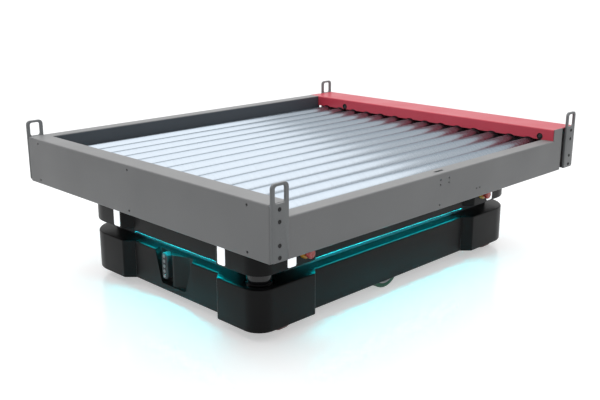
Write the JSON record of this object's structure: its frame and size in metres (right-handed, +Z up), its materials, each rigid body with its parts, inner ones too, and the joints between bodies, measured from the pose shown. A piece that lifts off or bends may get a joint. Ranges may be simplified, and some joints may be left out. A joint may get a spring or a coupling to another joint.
{
  "type": "autonomous mobile robot with roller conveyor",
  "caption": "Low autonomous mobile robot with corner bumpers, light strips and a powered roller bed between folded side plates, with lifting lugs at the corners.",
  "frame": {"origin": "on the floor under the centre of the robot", "axes": "+X along the length, parallel to the rollers, towards the red drive cover; +Y across towards the tall side plate; +Z up"},
  "size_m": [1.568, 1.2692, 0.537],
  "materials": {
    "steel_grey_paint": "satin light grey powder coat",
    "anthracite_paint": "matt anthracite powder coat",
    "red_paint": "satin red powder coat",
    "lug_steel": "satin grey paint",
    "black_zinc": "black zinc",
    "roller_steel": "bright zinc plated tube",
    "axle_steel": "turned steel",
    "belt_rubber": "ribbed rubber belt",
    "black_plastic": "fine-grained moulded plastic",
    "sensor_black": "smooth black",
    "lamp_cyan": "lit diffuser",
    "lamp_white": "lit diffuser",
    "stop_red": "glossy red",
    "stop_yellow": "glossy yellow",
    "keypad_grey": "light grey moulding",
    "button_white": "smooth button cap",
    "key_metal": "plated lock",
    "wheel_green": "cast green tyre",
    "motor_aluminium": "cast aluminium",
    "caster_zinc": "zinc plated",
    "caster_tread": "brown-red tread",
    "battery_plastic": "moulded case",
    "computer_alu": "ribbed housing"
  },
  "bodies": {
    "base": {"battery_case": "battery_plastic", "caster_flanges": "caster_zinc", "chassis": "anthracite_paint", "computer_case": "computer_alu", "conveyor_frame": "anthracite_paint", "drive_belts": "belt_rubber", "drive_cover": "red_paint", "drive_gearmotors": "motor_aluminium", "end_panels": "black_plastic", "far_guide_panel": "anthracite_paint", "far_side_plate": "steel_grey_paint", "front_end_plate": "steel_grey_paint", "keypad_plate": "keypad_grey", "lifting_lugs": "lug_steel", "light_strips": "lamp_cyan", "low_side_plate": "steel_grey_paint", "lug_screws": "black_zinc", "photo_eyes": "sensor_black", "plain_corner_bumpers": "black_plastic", "rear_end_plate": "steel_grey_paint", "roller_axles": "axle_steel", "safety_scanners": "sensor_black", "scanner_corner_bumpers": "black_plastic", "side_panels": "black_plastic", "signal_windows": "lamp_white", "stop_collars": "stop_yellow", "upper_cover": "black_plastic"},
    "roller_01": {"roller_01": "roller_steel"},
    "roller_02": {"roller_02": "roller_steel"},
    "roller_03": {"roller_03": "roller_steel"},
    "roller_04": {"roller_04": "roller_steel"},
    "roller_05": {"roller_05": "roller_steel"},
    "roller_06": {"roller_06": "roller_steel"},
    "roller_07": {"roller_07": "roller_steel"},
    "roller_08": {"roller_08": "roller_steel"},
    "roller_09": {"roller_09": "roller_steel"},
    "roller_10": {"roller_10": "roller_steel"},
    "roller_11": {"roller_11": "roller_steel"},
    "roller_12": {"roller_12": "roller_steel"},
    "roller_13": {"roller_13": "roller_steel"},
    "roller_14": {"roller_14": "roller_steel"},
    "caster_fork_front_right": {"caster_fork_front_right": "caster_zinc"},
    "caster_wheel_front_right": {"caster_wheel_front_right": "caster_tread"},
    "caster_fork_front_left": {"caster_fork_front_left": "caster_zinc"},
    "caster_wheel_front_left": {"caster_wheel_front_left": "caster_tread"},
    "caster_fork_rear_right": {"caster_fork_rear_right": "caster_zinc"},
    "caster_wheel_rear_right": {"caster_wheel_rear_right": "caster_tread"},
    "caster_fork_rear_left": {"caster_fork_rear_left": "caster_zinc"},
    "caster_wheel_rear_left": {"caster_wheel_rear_left": "caster_tread"},
    "drive_wheel_right": {"drive_wheel_right": "wheel_green"},
    "drive_wheel_left": {"drive_wheel_left": "wheel_green"},
    "stop_head_1": {"stop_head_1": "stop_red"},
    "stop_head_2": {"stop_head_2": "stop_red"},
    "stop_head_3": {"stop_head_3": "stop_red"},
    "stop_head_4": {"stop_head_4": "stop_red"},
    "push_button_1": {"push_button_1": "button_white"},
    "push_button_2": {"push_button_2": "button_white"},
    "push_button_3": {"push_button_3": "button_white"},
    "push_button_4": {"push_button_4": "button_white"},
    "mode_key": {"mode_key": "key_metal"}
  },
  "joints": [
    {"name": "roller_01_spin", "type": "hinge", "parent": "base", "child": "roller_01", "pos_m": [0, 0.517, 0.409], "axis": [1, 0, 0], "continuous": true},
    {"name": "roller_02_spin", "type": "hinge", "parent": "base", "child": "roller_02", "pos_m": [0, 0.437, 0.409], "axis": [1, 0, 0], "continuous": true},
    {"name": "roller_03_spin", "type": "hinge", "parent": "base", "child": "roller_03", "pos_m": [0, 0.357, 0.409], "axis": [1, 0, 0], "continuous": true},
    {"name": "roller_04_spin", "type": "hinge", "parent": "base", "child": "roller_04", "pos_m": [0, 0.277, 0.409], "axis": [1, 0, 0], "continuous": true},
    {"name": "roller_05_spin", "type": "hinge", "parent": "base", "child": "roller_05", "pos_m": [0, 0.197, 0.409], "axis": [1, 0, 0], "continuous": true},
    {"name": "roller_06_spin", "type": "hinge", "parent": "base", "child": "roller_06", "pos_m": [0, 0.117, 0.409], "axis": [1, 0, 0], "continuous": true},
    {"name": "roller_07_spin", "type": "hinge", "parent": "base", "child": "roller_07", "pos_m": [0, 0.037, 0.409], "axis": [1, 0, 0], "continuous": true},
    {"name": "roller_08_spin", "type": "hinge", "parent": "base", "child": "roller_08", "pos_m": [0, -0.043, 0.409], "axis": [1, 0, 0], "continuous": true},
    {"name": "roller_09_spin", "type": "hinge", "parent": "base", "child": "roller_09", "pos_m": [0, -0.123, 0.409], "axis": [1, 0, 0], "continuous": true},
    {"name": "roller_10_spin", "type": "hinge", "parent": "base", "child": "roller_10", "pos_m": [0, -0.203, 0.409], "axis": [1, 0, 0], "continuous": true},
    {"name": "roller_11_spin", "type": "hinge", "parent": "base", "child": "roller_11", "pos_m": [0, -0.283, 0.409], "axis": [1, 0, 0], "continuous": true},
    {"name": "roller_12_spin", "type": "hinge", "parent": "base", "child": "roller_12", "pos_m": [0, -0.363, 0.409], "axis": [1, 0, 0], "continuous": true},
    {"name": "roller_13_spin", "type": "hinge", "parent": "base", "child": "roller_13", "pos_m": [0, -0.443, 0.409], "axis": [1, 0, 0], "continuous": true},
    {"name": "roller_14_spin", "type": "hinge", "parent": "base", "child": "roller_14", "pos_m": [0, -0.523, 0.409], "axis": [1, 0, 0], "continuous": true},
    {"name": "caster_swivel_front_right", "type": "hinge", "parent": "base", "child": "caster_fork_front_right", "pos_m": [-0.548, -0.362, 0.1], "axis": [0, 0, 1], "continuous": true},
    {"name": "caster_roll_front_right", "type": "hinge", "parent": "caster_fork_front_right", "child": "caster_wheel_front_right", "pos_m": [-0.548, -0.396, 0.05], "axis": [1, 0, 0], "continuous": true},
    {"name": "caster_swivel_front_left", "type": "hinge", "parent": "base", "child": "caster_fork_front_left", "pos_m": [-0.548, 0.362, 0.1], "axis": [0, 0, 1], "continuous": true},
    {"name": "caster_roll_front_left", "type": "hinge", "parent": "caster_fork_front_left", "child": "caster_wheel_front_left", "pos_m": [-0.548, 0.328, 0.05], "axis": [1, 0, 0], "continuous": true},
    {"name": "caster_swivel_rear_right", "type": "hinge", "parent": "base", "child": "caster_fork_rear_right", "pos_m": [0.548, -0.362, 0.1], "axis": [0, 0, 1], "continuous": true},
    {"name": "caster_roll_rear_right", "type": "hinge", "parent": "caster_fork_rear_right", "child": "caster_wheel_rear_right", "pos_m": [0.548, -0.396, 0.05], "axis": [1, 0, 0], "continuous": true},
    {"name": "caster_swivel_rear_left", "type": "hinge", "parent": "base", "child": "caster_fork_rear_left", "pos_m": [0.548, 0.362, 0.1], "axis": [0, 0, 1], "continuous": true},
    {"name": "caster_roll_rear_left", "type": "hinge", "parent": "caster_fork_rear_left", "child": "caster_wheel_rear_left", "pos_m": [0.548, 0.328, 0.05], "axis": [1, 0, 0], "continuous": true},
    {"name": "drive_roll_right", "type": "hinge", "parent": "base", "child": "drive_wheel_right", "pos_m": [-0.05, -0.412, 0.075], "axis": [0, 1, 0], "continuous": true},
    {"name": "drive_roll_left", "type": "hinge", "parent": "base", "child": "drive_wheel_left", "pos_m": [-0.05, 0.412, 0.075], "axis": [0, 1, 0], "continuous": true},
    {"name": "stop_push_1", "type": "slide", "parent": "base", "child": "stop_head_1", "axis": [0, 1, 0], "range_m": [0, 0.006], "stiffness_N_per_m": 1200},
    {"name": "stop_push_2", "type": "slide", "parent": "base", "child": "stop_head_2", "axis": [0, -1, 0], "range_m": [0, 0.006], "stiffness_N_per_m": 1200},
    {"name": "stop_push_3", "type": "slide", "parent": "base", "child": "stop_head_3", "axis": [0, -1, 0], "range_m": [0, 0.006], "stiffness_N_per_m": 1200},
    {"name": "stop_push_4", "type": "slide", "parent": "base", "child": "stop_head_4", "axis": [0, 1, 0], "range_m": [0, 0.006], "stiffness_N_per_m": 1200},
    {"name": "button_push_1", "type": "slide", "parent": "base", "child": "push_button_1", "axis": [1, 0, 0], "range_m": [0, 0.002], "stiffness_N_per_m": 800},
    {"name": "button_push_2", "type": "slide", "parent": "base", "child": "push_button_2", "axis": [1, 0, 0], "range_m": [0, 0.002], "stiffness_N_per_m": 800},
    {"name": "button_push_3", "type": "slide", "parent": "base", "child": "push_button_3", "axis": [1, 0, 0], "range_m": [0, 0.002], "stiffness_N_per_m": 800},
    {"name": "button_push_4", "type": "slide", "parent": "base", "child": "push_button_4", "axis": [1, 0, 0], "range_m": [0, 0.002], "stiffness_N_per_m": 800},
    {"name": "mode_key_turn", "type": "hinge", "parent": "base", "child": "mode_key", "pos_m": [-0.641, 0.0385, 0.079], "axis": [1, 0, 0], "range_deg": [0, 90]}
  ],
  "couplings": [
    {"joint": "roller_01_spin", "follows": "roller_07_spin", "ratio": 1},
    {"joint": "roller_02_spin", "follows": "roller_07_spin", "ratio": 1},
    {"joint": "roller_03_spin", "follows": "roller_07_spin", "ratio": 1},
    {"joint": "roller_04_spin", "follows": "roller_07_spin", "ratio": 1},
    {"joint": "roller_05_spin", "follows": "roller_07_spin", "ratio": 1},
    {"joint": "roller_06_spin", "follows": "roller_07_spin", "ratio": 1},
    {"joint": "roller_08_spin", "follows": "roller_07_spin", "ratio": 1},
    {"joint": "roller_09_spin", "follows": "roller_07_spin", "ratio": 1},
    {"joint": "roller_10_spin", "follows": "roller_07_spin", "ratio": 1},
    {"joint": "roller_11_spin", "follows": "roller_07_spin", "ratio": 1},
    {"joint": "roller_12_spin", "follows": "roller_07_spin", "ratio": 1},
    {"joint": "roller_13_spin", "follows": "roller_07_spin", "ratio": 1},
    {"joint": "roller_14_spin", "follows": "roller_07_spin", "ratio": 1}
  ]
}
